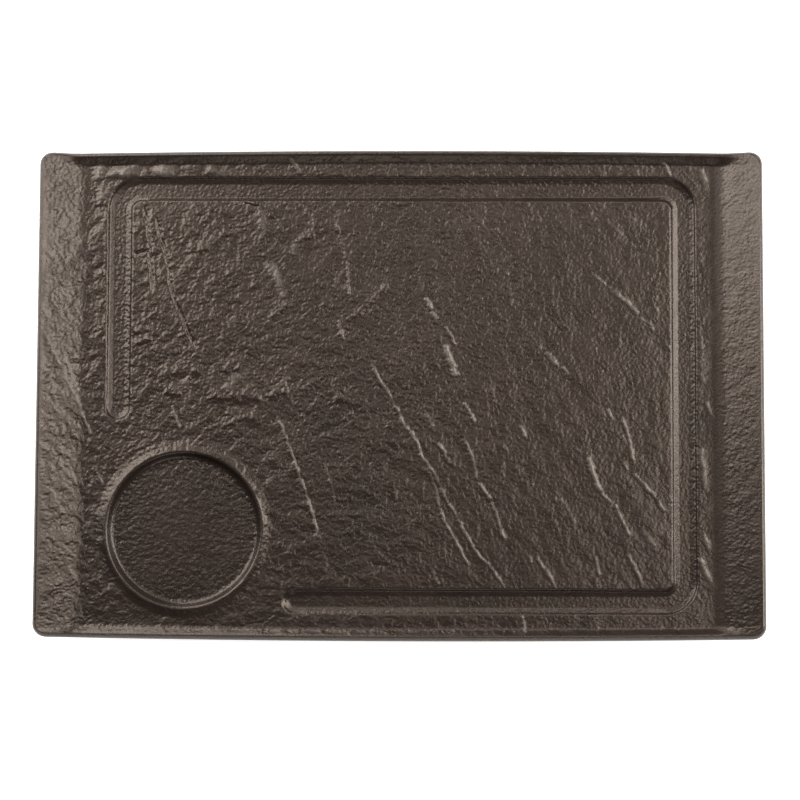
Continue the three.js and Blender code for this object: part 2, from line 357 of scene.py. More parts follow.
def groove_height(x, y):
    """Height in the groove: a bed, a gentle foot, a steep wall and a rounded edge."""
    signed = groove_distance(x, y)
    distance = np.abs(signed) + GROOVE_WANDER * wander(x, y, GROOVE_WANDER_CELL, "groove")
    places = [GROOVE_BED_HALF, GROOVE_FOOT_HALF, GROOVE_WALL_HALF, GROOVE_EDGE_HALF]
    heights = [-GROOVE_DEPTH, GROOVE_FOOT_RISE - GROOVE_DEPTH, -GROOVE_EDGE_DROP, 0]
    height = section(distance, places, heights)
    past_bend = smoothstep(GROOVE_EDGE_HALF, 2 * GROOVE_BEND, GROOVE_X - np.abs(x))
    heights[1] = GROOVE_FRONT_FOOT_RISE - GROOVE_DEPTH
    front_outside = past_bend * (signed >= 0) * (y < 0)
    height += front_outside * (section(distance, places, heights) - height)
    places[:3] = [GROOVE_REAR_BED_HALF, GROOVE_REAR_FOOT_HALF, GROOVE_REAR_WALL_HALF]
    heights[1:3] = [GROOVE_REAR_FOOT_RISE - GROOVE_DEPTH, -GROOVE_REAR_EDGE_DROP]
    rear_inside = past_bend * (signed < 0) * (y > 0)
    return height + rear_inside * (section(distance, places, heights) - height)


def seat_section(radius):
    """Height of the seat's floor, its fillet, its steep wall and the collar round it."""
    turns = np.linspace(0, wall_turn, ROUND_STEPS + 1)
    fillet = SEAT_FLOOR_RADIUS + SEAT_FILLET * np.sin(turns)
    fillet_heights = SEAT_FILLET * (1 - np.cos(turns)) - SEAT_DEPTH
    crest = seat_crest - COLLAR_ROUND * np.sin(turns)
    crest_heights = COLLAR_HEIGHT - COLLAR_ROUND * (1 - np.cos(turns))
    slope = [collar_top, (collar_top + collar_foot) / 2, collar_foot]
    slope_heights = [COLLAR_HEIGHT, COLLAR_HEIGHT * COLLAR_HALFWAY, 0]
    places = np.concatenate([fillet, crest[::-1], slope])
    return section(radius, places, np.concatenate([fillet_heights, crest_heights[::-1], slope_heights]))


def from_seat(x, y):
    return np.hypot(x - SEAT_X, y - SEAT_Y)


def seat_distance(x, y):
    """Distance from the seat's centre, shortened over the collar's slope, which is longer at the rear."""
    gap = from_seat(x, y)
    stretch = COLLAR_REAR_STRETCH * np.clip((y - SEAT_Y) / seat_crest, 0, 1)
    slope = np.maximum(gap - collar_top, 0)
    return gap - slope * stretch / (1 + stretch)


def plain_floor(x):
    """Height of the floor and the wings."""
    fillet = np.where(x > 0, RIGHT_WING_FILLET, LEFT_WING_FILLET)
    return FLOOR_Z + wing_rise(np.abs(x) - wing_crease, fillet)


def rim_height(x):
    """Height of the rim along a long side: the lip, and then the wing where it has risen above the lip."""
    floor = plain_floor(x)
    return (lip_base + floor + np.sqrt((lip_base - floor) ** 2 + RIM_BLEND**2)) / 2


def lip_share(x, y):
    """1 on the crest of a lip, 0 on the floor beside it."""
    inset = from_side(x, y)
    rear = section(inset, [LIP_CREST, LIP_CREST + LIP_SLOPE], [1, 0], LIP_SOFTNESS)
    front = section(inset, [LIP_CREST, LIP_CREST + FRONT_LIP_SLOPE], [1, 0], FRONT_LIP_SOFTNESS)
    return np.where(y < 0, front, rear)


def plain_top(x, y):
    """Height of the top side without its relief."""
    floor = plain_floor(x)
    height = floor + (rim_height(x) - floor) * lip_share(x, y)
    height += seat_section(seat_distance(x, y))
    return height + groove_height(x, y)


def plain_under(x, y):
    """Height of the underside outside the foot."""
    under = BASE_Z + wing_rise(np.abs(x) - under_crease, WING_FILLET)
    rim = rim_height(x) - RIM_THICKNESS
    share = np.clip((UNDERCUT - from_side(x, y)) / (UNDERCUT - RIM_NOSE), 0, 1)
    return under + (rim - under) * share**2


# Relief of the top side

PEBBLE_CLEFT = 0.65
PEBBLE_TILT = 1.8
PEBBLE_MEAN = 0.6


def pebbles(x, y, seed):
    """Rounded cells about one unit wide with clefts between them, each tilted its own way."""
    scatter = np.random.default_rng(SEED + seed).uniform(-0.5, 0.5, (4, NOISE_TABLE, NOISE_TABLE))
    cell_x, cell_y = cells_of(x, y)
    nearest = np.full(x.shape, np.inf)
    second = np.full(x.shape, np.inf)
    tilt = np.zeros_like(x)
    for step_x in (-1, 0, 1):
        for step_y in (-1, 0, 1):
            place = ((cell_x + step_x) % NOISE_TABLE, (cell_y + step_y) % NOISE_TABLE)
            off_x = cell_x + step_x + 0.5 + scatter[0][place] - x
            off_y = cell_y + step_y + 0.5 + scatter[1][place] - y
            gap = np.hypot(off_x, off_y)
            closer = gap < nearest
            second = np.where(closer, nearest, np.minimum(second, gap))
            tilt = np.where(closer, scatter[2][place] * off_x + scatter[3][place] * off_y, tilt)
            nearest = np.where(closer, gap, nearest)
    return smoothstep(0, PEBBLE_CLEFT, second - nearest) - PEBBLE_MEAN + PEBBLE_TILT * tilt


# Grain of the slate at chosen places: x, y, direction, strength of the fine grain, strength of the lumps
GRAIN_PLACES = {
    "left_wing_rear": (-156, 90, 65, 1.1, 0.5),
    "left_wing_middle": (-156, 30, 100, 1.15, 0.95),
    "left_wing_front": (-156, -25, 132, 1.0, 1.0),
    "left_wing_corner": (-156, -80, 120, 0.9, 1.0),
    "rear_left_land": (-120, 104, 60, 0.55, 0.4),
    "left_land_rear": (-139, 70, 70, 0.75, 1.3),
    "left_land": (-139, 10, 25, 0.75, 1.3),
    "left_land_front": (-139, -50, 60, 0.8, 1.0),
    "left_field_rear": (-111, 60, 48, 1.0, 1.2),
    "left_field_inner_rear": (-66, 60, 38, 1.0, 0.95),
    "left_field_front": (-111, 12, 43, 1.15, 0.95),
    "left_field_inner_front": (-66, 10, 40, 1.15, 0.95),
    "behind_seat": (-111, -12, 28, 1.15, 0.95),
    "right_of_seat": (-66, -15, 25, 1.15, 0.95),
    "middle_left_rear": (-43, 59, 43, 0.85, 0.7),
    "middle_left": (-20, 42, 55, 1.1, 0.6),
    "middle_left_front": (-43, -12, 28, 1.0, 0.95),
    "middle_low": (-20, -30, 20, 1.0, 1.1),
    "middle_low_left": (-43, -70, 10, 0.95, 1.1),
    "middle_low_right": (-10, -65, 175, 0.95, 1.0),
    "front_field": (-38, -88, 8, 0.45, 0.9),
    "seat": (-98, -61, 12, 0.42, 0.6),
    "front_left_land": (-110, -105, 15, 0.6, 0.6),
    "front_land": (0, -104, 0, 0.6, 0.5),
    "middle_rear": (3, 65, 55, 1.1, 0.45),
    "middle": (3, 12, 38, 1.15, 0.55),
    "middle_right_rear": (35, 60, 95, 1.1, 0.4),
    "middle_right": (35, 17, 120, 1.1, 0.45),
    "right_field_rear": (90, 50, 112, 0.75, 0.35),
    "right_field_edge": (113, 25, 106, 0.75, 0.4),
    "right_field": (75, -30, 128, 0.75, 0.45),
    "right_of_middle": (25, -40, 128, 0.9, 0.6),
    "right_front": (50, -75, 132, 0.6, 0.5),
    "right_front_edge": (104, -65, 125, 0.55, 0.4),
    "right_land": (139, 0, 95, 0.45, 0.45),
    "right_wing_rear": (157, 80, 25, 0.4, 0.2),
    "right_wing": (157, 0, 10, 0.58, 0.28),
    "right_wing_front": (157, -85, 175, 0.55, 0.25),
}
GRAIN_REACH = 14
GRAIN_FALLOFF = -2.0
GRAIN_DIRECTIONS = 6
DIRECTION_POWER = 3

# Patterns of the relief: cells and heights, and the shares of the patterns that make them up
GRAIN_LENGTH = 1.75
GRAIN_WIDTH = 1.2
GRAIN_SPECK = 1.4
GRAIN_PEBBLES = 0.8
GRAIN_SPECKS = 1.1
GRAIN_HEIGHT = 0.115
LUMP_LENGTH = 5.6
LUMP_WIDTH = 4.4
LUMP_PEBBLES = 0.45
LUMP_NOISE = 0.95
LUMP_HEIGHT = 0.22
BAND_LENGTH = 32
BAND_WIDTH = 6.5
BAND_HEIGHT = 0.135
SWELL_CELL = 24
SWELL_HEIGHT = 0.2
SWELL_BASE = 0.35
LAYER_CELL = 30
LAYER_COUNT = 3.5
LAYER_STEP = (0.3, 0.7)
LAYER_HEIGHT = 0.13
LAYER_BASE = 0.4
SEAT_LUMPS = 0.3
SEAT_GRAIN_LENGTH = 2.5
SEAT_GRAIN_WIDTH = 2.0
SEAT_GRAIN_HEIGHT = 0.1
CREASE_WANDER = 2.4
CREASE_CELL = 22
CREASE_FADE = 60
CREASE_SIDE_RANGE = (4, 20)

# Distances over which the relief comes in or fades out
WING_RANGE = (wing_crease - 2, wing_crease + 3)
RIGHT_CREASE_START = (wing_crease - 6, wing_crease - 3)
RIGHT_CREASE_END = (wing_crease, wing_crease + 3)
RIGHT_CREASE_CALM = 0.75
GROOVE_WALL_RANGE = (GROOVE_FOOT_HALF, GROOVE_EDGE_HALF)
GROOVE_FOOT_RANGE = (GROOVE_BED_HALF - 0.3, GROOVE_BED_HALF + 0.4)
GROOVE_RUN_RANGE = (-GROOVE_EDGE_HALF - 1, -GROOVE_EDGE_HALF)
GROOVE_STOP_RANGE = (0, 2)
GROOVE_GRAIN_SWING = 0.7
SEAT_RANGE = (seat_crest - 0.5, collar_top + 1.5)
SEAT_WALL_RANGE = (SEAT_FLOOR_RADIUS, seat_wall_foot)
REAR_LIP_BARE = LIP_SLOPE / 2
FRONT_LIP_BARE = LIP_SLOPE / 3
RIM_RANGE = (0.3, 2.5)

# Painted highlight: how much paler the glaze is coloured per millimetre of ridge or plate, and on the raised
# grain
RIDGE_HIGHLIGHT = 2.2
PLATE_HIGHLIGHT = 0.7
GRAIN_HIGHLIGHT = 0.1


def grain_field(x, y):
    """Direction of the grain in radians, and strengths of grain and lumps, between the chosen places."""
    totals = np.zeros((5, *x.shape))
    for place_x, place_y, direction, grain, lumps in GRAIN_PLACES.values():
        weight = ((x - place_x) ** 2 + (y - place_y) ** 2 + GRAIN_REACH**2) ** GRAIN_FALLOFF
        doubled = math.radians(2 * direction)
        for total, value in zip(totals, (math.cos(doubled), math.sin(doubled), grain, lumps, 1)):
            total += weight * value
    along, across, grain, lumps, weights = totals
    return np.arctan2(across, along) / 2, grain / weights, lumps / weights


def oriented(pattern, x, y, angle, length, width, seed):
    """A pattern whose cells are drawn out along a direction that changes from place to place."""
    total = np.zeros_like(x)
    power = np.zeros_like(x)
    for number in range(GRAIN_DIRECTIONS):
        turn = math.pi * number / GRAIN_DIRECTIONS
        weight = np.clip(np.cos(2 * (angle - turn)), 0, None) ** DIRECTION_POWER
        along = x * math.cos(turn) + y * math.sin(turn)
        across = y * math.cos(turn) - x * math.sin(turn)
        total += weight * pattern(along / length, across / width, seed + number)
        power += weight**2
    return total / np.sqrt(power)


# Ridges of cleft slate, in pixels of the photograph, from the rear to the front.
# Each has its height, the half width of its lit side, that of its shaded side, and its points.
RIDGES = {
    "long_middle_rear": (0.4, 0.5, 0.7, [(372, 363), (380, 381), (387, 390), (395, 405), (401, 416)]),
    "long_middle": (0.42, 0.55, 0.75, [(399, 411), (404, 425), (412, 433), (418, 444), (421, 453)]),
    "long_middle_bend": (0.36, 0.45, 0.65, [(417, 441), (421, 455), (427, 463), (434, 472), (440, 485)]),
    "long_middle_front": (
        0.34, 0.42, 0.6,
        [(438, 480), (446, 499), (454, 511), (460, 523), (468, 538), (476, 551), (481, 558), (492, 568),
         (506, 590)],
    ),
    "twin_rear": (0.16, 0.4, 0.6, [(423, 465), (430, 473), (436, 490), (439, 508)]),
    "twin_front": (0.32, 0.38, 0.55, [(438, 504), (446, 524), (454, 538), (462, 553), (470, 568)]),
    "twin_end": (0.14, 0.4, 0.6, [(472, 574), (484, 586)]),
    "thick_thin": (0.15, 0.35, 0.5, [(418, 276), (423, 292)]),
    "thick_rear": (0.44, 0.9, 1.1, [(425, 297), (429, 304), (433, 310)]),
    "thick_next": (0.42, 0.8, 1.0, [(432, 311), (438, 320)]),
    "thick_branch": (0.3, 0.45, 0.6, [(444, 325), (450, 334), (456, 346)]),
    "thick_front": (0.5, 1.2, 1.4, [(444, 343), (448, 352), (452, 364), (457, 378)]),
    "right_of_middle_rear": (0.36, 0.5, 0.7, [(463, 402), (471, 414), (476, 424)]),
    "right_of_middle": (0.24, 0.45, 0.65, [(463, 436), (470, 450), (474, 462), (478, 482)]),
    "right_of_middle_bend": (0.34, 0.5, 0.7, [(478, 482), (484, 490), (492, 500)]),
    "right_of_middle_front": (0.28, 0.42, 0.6, [(490, 500), (496, 512), (501, 531), (506, 542)]),
    "middle_front_end": (0.28, 0.6, 0.8, [(536, 556), (543, 566), (550, 576), (556, 588)]),
    "middle_front_speck": (0.25, 0.5, 0.7, [(529, 554), (532, 563)]),
    "inner_rear": (0.3, 0.55, 0.7, [(426, 413), (434, 427)]),
    "inner_front": (0.4, 0.55, 0.75, [(438, 442), (444, 452), (452, 465)]),
    "long_left": (0.36, 0.38, 0.55, [(276, 411), (289, 445), (301, 480), (311, 508), (317, 530), (318, 543)]),
    "short_left": (0.18, 0.35, 0.55, [(323, 459), (333, 490), (336, 508)]),
    "rear_left_thin": (0.2, 0.35, 0.5, [(337, 222), (341, 238), (347, 258)]),
    "rear_left": (0.26, 0.42, 0.6, [(347, 260), (349, 284), (350, 298)]),
    "rear_left_slant": (0.2, 0.7, 0.9, [(342, 270), (338, 280), (333, 289)]),
    "rear_left_front": (0.26, 0.5, 0.7, [(339, 318), (340, 327), (344, 341)]),
    "rear_patch": (0.2, 2.0, 2.2, [(261, 210), (264, 234)]),
    "rear_patch_right": (0.2, 1.6, 1.8, [(297, 238), (294, 256)]),
    "rear_patch_front": (0.28, 2.0, 2.2, [(270, 262), (278, 280), (284, 300)]),
    "right_streak_rear": (0.1, 0.7, 0.9, [(506, 266), (512, 310)]),
    "right_streak": (0.14, 0.4, 0.6, [(489, 378), (496, 404)]),
    "right_blob": (0.36, 0.9, 1.1, [(545, 352), (552, 358), (558, 366)]),
    "right_blob_front": (0.26, 0.6, 0.8, [(562, 366), (569, 376)]),
    "right_speck": (0.3, 0.6, 0.8, [(520, 425), (526, 437)]),
    "right_rear_start": (0.16, 0.5, 0.7, [(590, 272), (608, 286)]),
    "right_rear": (0.32, 0.8, 1.0, [(606, 285), (614, 291), (621, 297), (630, 304), (639, 316)]),
    "right_rear_end": (0.22, 0.5, 0.7, [(639, 316), (651, 325), (654, 333)]),
    "right_front_rear": (0.16, 0.5, 0.7, [(571, 446), (588, 455)]),
    "right_front": (0.4, 0.75, 0.95, [(588, 454), (592, 469), (596, 480), (601, 493)]),
    "right_front_bend": (0.26, 0.5, 0.7, [(601, 493), (607, 499), (614, 504)]),
    "right_front_line": (0.34, 0.5, 0.7, [(614, 503), (618, 511), (622, 520), (631, 537)]),
    "right_front_end": (0.28, 0.6, 0.8, [(626, 552), (634, 566), (640, 578), (643, 588)]),
    "right_inner_rear": (0.25, 0.5, 0.7, [(607, 408), (613, 421)]),
    "right_inner": (0.26, 0.5, 0.7, [(620, 415), (626, 428), (630, 444), (635, 465)]),
    "right_outer_start": (0.22, 0.5, 0.7, [(623, 461), (628, 470)]),
    "right_outer": (0.28, 0.55, 0.75, [(632, 472), (640, 480), (646, 486), (658, 500), (665, 514)]),
    "right_low": (0.16, 0.9, 1.1, [(640, 526), (648, 538), (656, 548)]),
    "front_faint": (0.14, 0.7, 0.9, [(553, 488), (566, 505), (577, 528)]),
    "front_speck": (0.25, 0.5, 0.7, [(594, 555), (600, 577)]),
    "front_left_speck": (0.16, 0.45, 0.65, [(430, 566), (439, 586)]),
    "front_left_slant": (0.14, 0.6, 0.8, [(410, 478), (396, 490), (396, 503)]),
    "front_land": (0.3, 0.4, 0.6, [(521, 615), (527, 634)]),
    "right_land_rear": (0.09, 1.0, 1.2, [(701, 336), (703, 386)]),
    "right_land": (0.26, 0.6, 0.9, [(706, 400), (714, 421)]),
    "right_land_patch": (0.2, 1.2, 1.3, [(701, 446), (706, 490)]),
    "right_land_low": (0.2, 0.9, 1.1, [(703, 533), (710, 550)]),
    "right_land_front": (0.3, 1.0, 1.2, [(699, 556), (706, 573), (718, 592)]),
    "right_land_corner": (0.18, 1.6, 1.8, [(701, 168), (709, 191)]),
    "rear_land_left": (0.3, 0.7, 0.9, [(289, 157), (302, 174)]),
    "rear_land_right": (0.26, 0.5, 0.75, [(662, 160), (671, 176)]),
    "above_seat": (0.4, 0.45, 0.65, [(171, 405), (176, 416), (180, 430)]),
    "beside_seat": (0.36, 0.45, 0.65, [(97, 472), (104, 486)]),
    "left_land": (0.34, 0.45, 0.75, [(80, 410), (86, 421), (91, 436)]),
    "ledge_patch": (0.16, 1.8, 1.8, [(250, 368), (238, 378), (222, 391)]),
    "ledge_patch_left": (0.15, 1.6, 1.6, [(190, 379), (180, 385), (170, 390)]),
    "ledge_patch_right": (0.15, 1.6, 1.6, [(290, 376), (281, 384), (270, 392)]),
    "left_wing_outer": (0.22, 0.6, 0.9, [(45, 330), (56, 354), (72, 387), (82, 412)]),
    "left_wing_inner": (0.22, 0.6, 0.9, [(66, 352), (72, 378), (80, 394)]),
}

# Brinks where a layer has broken away: lit on the gentle rear side, dark on the steep front side.
# Each has its height, the half widths of its front side and its rear side, and points from right to left.
BRINKS = {
    "ledge_left": (0.6, 1.8, 3.6, [(264, 398), (240, 397), (222, 398), (206, 396)]),
    "ledge_slit": (0.5, 0.8, 2.2, [(182, 394), (174, 394), (163, 392)]),
    "ledge_right": (0.5, 1.6, 3.0, [(290, 390), (280, 395), (266, 398)]),
    "ledge_far": (0.35, 1.6, 3.0, [(366, 405), (350, 402), (333, 397)]),
    "upper_left": (0.35, 1.8, 3.0, [(247, 366), (232, 368), (222, 371)]),
    "upper_far_left": (0.4, 1.8, 3.0, [(203, 372), (182, 371), (163, 371)]),
    "slant_middle": (0.35, 1.2, 1.6, [(291, 303), (281, 310), (267, 320)]),
    "slant_right": (0.3, 1.2, 1.6, [(389, 284), (368, 304), (352, 320)]),
    "slant_rear": (0.35, 0.7, 2.0, [(315, 236), (304, 239), (293, 242)]),
    "slant_left": (0.22, 1.4, 2.2, [(230, 229), (219, 239), (207, 246), (196, 254)]),
    "seat_rear": (0.3, 0.8, 1.8, [(262, 417), (240, 420), (220, 428)]),
    "left_corner": (0.5, 0.9, 2.4, [(150, 331), (142, 330), (135, 333)]),
    "left_corner_front": (0.45, 0.9, 2.4, [(152, 340), (143, 341), (135, 344)]),
}

# Open cracks: depth, half width, and points
CRACKS = {
    "left_long": (0.8, 0.75, [(143, 204), (147, 220), (150, 252), (152, 280), (152, 297)]),
    "left_rear": (
        0.8, 0.75,
        [(156, 212), (160, 235), (167, 257), (171, 286), (175, 302), (183, 318), (196, 352)],
    ),
    "left_across": (0.75, 0.75, [(152, 248), (143, 252), (134, 256)]),
    "rear_notch": (0.6, 0.6, [(243, 203), (252, 205), (259, 208)]),
    "right_rear": (0.08, 0.6, [(593, 204), (620, 229), (641, 250)]),
}

# Smooth plates on the rear land, which rise towards the groove: pixel, half length, half width and height
PLATES = {
    "corner": ((100, 171), 3.6, 3.2, 0.65),
    "broad": ((123, 170), 5.8, 3, 1.0),
    "narrow": ((147, 171), 2.4, 2.4, 0.25),
    "middle": ((165, 170), 4.4, 3, 0.85),
    "flat": ((188, 167), 4.6, 2, 0.3),
    "far": ((214, 171), 3.6, 2.6, 0.45),
    "outer": ((103, 192), 2.4, 5, 0.55),
}
PLATE_POWER = 2.4
PLATE_TILT = 0.6
TRACE_MEAN = 1.05
TRACE_LIMITS = (0.4, 1.5)
RIDGE_VARY = 0.65
CRACK_VARY = 0.45
TRACE_VARY_CELL = 5
TRACE_TAPER = 0.12
TRACE_REACH = 8


def along_trace(x, y, points):
    """Signed distance from a line of points, plus to its left, and the share of its length."""
    steps = np.linalg.norm(np.diff(points, axis=0), axis=1)
    starts = np.concatenate([[0], np.cumsum(steps)])
    distance = np.full(x.shape, np.inf)
    signed = np.zeros_like(x)
    share = np.zeros_like(x)
    for number, step in enumerate(steps):
        heading = (points[number + 1] - points[number]) / step
        from_x = x - points[number][0]
        from_y = y - points[number][1]
        along = np.clip(from_x * heading[0] + from_y * heading[1], 0, step)
        side = heading[0] * from_y - heading[1] * from_x
        gap = np.hypot(from_x - along * heading[0], from_y - along * heading[1])
        nearer = gap < distance
        distance = np.where(nearer, gap, distance)
        signed = np.where(nearer, np.where(side < 0, -gap, gap), signed)
        share = np.where(nearer, (starts[number] + along) / starts[-1], share)
    return signed, share


def traced(x, y, traces, vary):
    """Highest of the sections swept along traced lines, which wander, vary in height and taper off."""
    sway_x, sway_y = swayed(x, y, "traces")
    broken = np.clip(TRACE_MEAN + vary * wander(x, y, TRACE_VARY_CELL, "trace_height"), *TRACE_LIMITS)
    total = np.zeros_like(x)
    for height, *halves, pixels in traces.values():
        points = np.array([on_floor(pixel) for pixel in pixels])
        low = points.min(0) - TRACE_REACH
        high = points.max(0) + TRACE_REACH
        near = (sway_x > low[0]) & (sway_x < high[0]) & (sway_y > low[1]) & (sway_y < high[1])
        signed, share = along_trace(sway_x[near], sway_y[near], points)
        taper = smoothstep(0, TRACE_TAPER, share) * (1 - smoothstep(1 - TRACE_TAPER, 1, share))
        half = np.where(signed > 0, halves[0], halves[-1])
        swept = height * taper * broken[near] * np.exp(-((signed / half) ** 2))
        total[near] = np.maximum(total[near], swept)
    return total


def plates(x, y):
    """Height of the plates, with swaying edges."""
    sway_x, sway_y = swayed(x, y, "plates")
    total = np.zeros_like(x)
    for pixel, half_length, half_across, height in PLATES.values():
        place = on_floor(pixel)
        along = (sway_x - place[0]) / half_length
        across = (sway_y - place[1]) / half_across
        inside = np.exp(-(np.abs(along) ** PLATE_POWER) - np.abs(across) ** PLATE_POWER)
        total = np.maximum(total, height * inside * (1 - PLATE_TILT * np.clip(across, -1, 1)))
    return total


def wandering_crease(x, y):
    """Change of height where the left wing's crease wanders in and out."""
    past = np.abs(x) - wing_crease
    fade = smoothstep(0, LENGTH / 4, -x) * (1 - smoothstep(0, WING_WIDTH / 2, past))
    fade *= smoothstep(*CREASE_SIDE_RANGE, from_side(x, y)) * smoothstep(-CREASE_FADE, 0, y)
    shift = CREASE_WANDER * fade * wander(np.zeros_like(y), y, CREASE_CELL, "crease")
    return wing_rise(past - shift, LEFT_WING_FILLET) - wing_rise(past, LEFT_WING_FILLET)


def fine_grain(x, y, angle):
    """Small pebbles with specks on them."""
    pebbled = oriented(pebbles, *swayed(x, y, "grain"), angle, GRAIN_LENGTH, GRAIN_WIDTH, SEEDS["grain"])
    specks = noise(x / GRAIN_SPECK, y / GRAIN_SPECK, SEEDS["specks"])
    return GRAIN_PEBBLES * pebbled + GRAIN_SPECKS * specks


def coarse_lumps(x, y, angle):
    """Large pebbles with soft lumps among them."""
    places = swayed(x, y, "lumps")
    pebbled = oriented(pebbles, *places, angle, LUMP_LENGTH, LUMP_WIDTH, SEEDS["lumps"])
    soft = oriented(noise, *places, angle, LUMP_LENGTH, LUMP_WIDTH, SEEDS["soft_lumps"])
    return LUMP_PEBBLES * pebbled + LUMP_NOISE * soft


def split_layers(x, y):
    """Steps from layer to layer of the slate, without the mean slope."""
    level = LAYER_COUNT * fractal(*swayed(x, y, "layers"), LAYER_CELL, SWELL_OCTAVES, SEEDS["layers"])
    below = np.floor(level)
    return below + smoothstep(*LAYER_STEP, level - below) - level


def groove_grain(x, y):
    """How far a place is in the groove, and the gain of its grain, rougher on walls facing left."""
    signed = groove_distance(x, y)
    in_groove = 1 - smoothstep(*GROOVE_WALL_RANGE, np.abs(signed))
    on_foot = smoothstep(*GROOVE_FOOT_RANGE, np.abs(signed)) * in_groove
    on_run = smoothstep(*GROOVE_RUN_RANGE, np.abs(x) - GROOVE_X)
    at_stop = smoothstep(*GROOVE_STOP_RANGE, groove_stop - x) * (y < GROOVE_WIDTH - GROOVE_Y)
    swing = np.where(np.sign(x) * signed > 0, GROOVE_GRAIN_SWING, -GROOVE_GRAIN_SWING)
    return in_groove, 1 + on_foot * np.maximum(on_run, at_stop) * swing


def off_the_rim(x, y, on_wing):
    """0 on the rim and the lips' crests, 1 away from them, and less along the right wing's crease."""
    lip_end = LIP_CREST + np.where(y < 0, FRONT_LIP_BARE, REAR_LIP_BARE)
    past_lip = smoothstep(LIP_CREST, lip_end, from_side(x, y) + lip_end * on_wing)
    inset = np.minimum(from_side(x, y), LENGTH / 2 - np.abs(x))
    on_crease = smoothstep(*RIGHT_CREASE_START, x) * (1 - smoothstep(*RIGHT_CREASE_END, x))
    return past_lip * smoothstep(*RIM_RANGE, inset - RIM_NOSE) * (1 - RIGHT_CREASE_CALM * on_crease)


def relief(x, y):
    """Height of the slate relief over the plain top side, and the painted highlight on each point, paler on
    ridges, plates and raised grain.
    """
    angle, grain, lumps = grain_field(x, y)
    on_wing = smoothstep(*WING_RANGE, np.abs(x))
    in_seat = 1 - smoothstep(*SEAT_RANGE, from_seat(x, y))
    on_wall = smoothstep(*SEAT_WALL_RANGE, from_seat(x, y)) * in_seat
    in_groove, groove_gain = groove_grain(x, y)
    smooth = off_the_rim(x, y, on_wing)
    open_slate = smooth * (1 - in_groove) * (1 - in_seat)
    seat_floor = smooth * in_seat * (1 - on_wall)

    fine = fine_grain(x, y, angle) * grain * smooth * (1 - on_wall) * groove_gain
    coarse = coarse_lumps(x, y, angle) * lumps * (open_slate + SEAT_LUMPS * seat_floor)
    seat_grain = noise(x / SEAT_GRAIN_LENGTH, y / SEAT_GRAIN_WIDTH, SEEDS["seat"])
    bands = oriented(noise, x, y, angle, BAND_LENGTH, BAND_WIDTH, SEEDS["bands"]) * (1 - on_wing)
    swell = fractal(x, y, SWELL_CELL, SWELL_OCTAVES, SEEDS["swell"]) * (1 - on_wing * (x > 0))
    swell *= SWELL_BASE + (1 - SWELL_BASE) * lumps
    layers = split_layers(x, y) * (LAYER_BASE + (1 - LAYER_BASE) * lumps)
    ridges = traced(x, y, RIDGES, RIDGE_VARY)
    brinks = traced(x, y, BRINKS, RIDGE_VARY)
    cracks = traced(x, y, CRACKS, CRACK_VARY)
    raised = plates(x, y)

    broad = BAND_HEIGHT * bands + SWELL_HEIGHT * swell + LAYER_HEIGHT * layers
    height = (broad + ridges + brinks - cracks + raised) * open_slate
    height += GRAIN_HEIGHT * fine + LUMP_HEIGHT * coarse
    height += SEAT_GRAIN_HEIGHT * seat_grain * seat_floor
    height += wandering_crease(x, y)
    # Painted highlight: ridges, plates and raised grain are coloured paler where they would catch the light
    crest_highlight = (RIDGE_HIGHLIGHT * ridges + PLATE_HIGHLIGHT * raised) * open_slate + GRAIN_HIGHLIGHT * (fine + coarse)
    return height, np.clip(crest_highlight, -1, 1)


# Mesh of the body

GLAZED = 0
BARE = 1
# Painted highlight on the rim's edge: its strength and how narrowly it gathers on the outermost edge
EDGE_HIGHLIGHT = 2
EDGE_HIGHLIGHT_POWER = 4
QUARTER = np.linspace(0, math.pi / 2, ROUND_STEPS + 1)

# Parts of the bake sheet: lower left corner, and width of the platter's length or outline on it
TOP_SHEET = (0.02, 0.345, 0.96)
FOOT_SHEET = (0.02, 0.01, 0.36)
STRIP_SHEET = (0.40, 0.01, 0.58)
STRIP_HEIGHT = 0.3

# Discs of a pad on its own bake sheet: centres and radius
PAD_SOLE_SHEET = (0.2, 0.15)
PAD_TOP_SHEET = (0.32, 0.15)
PAD_SHEET_RADIUS = 0.05


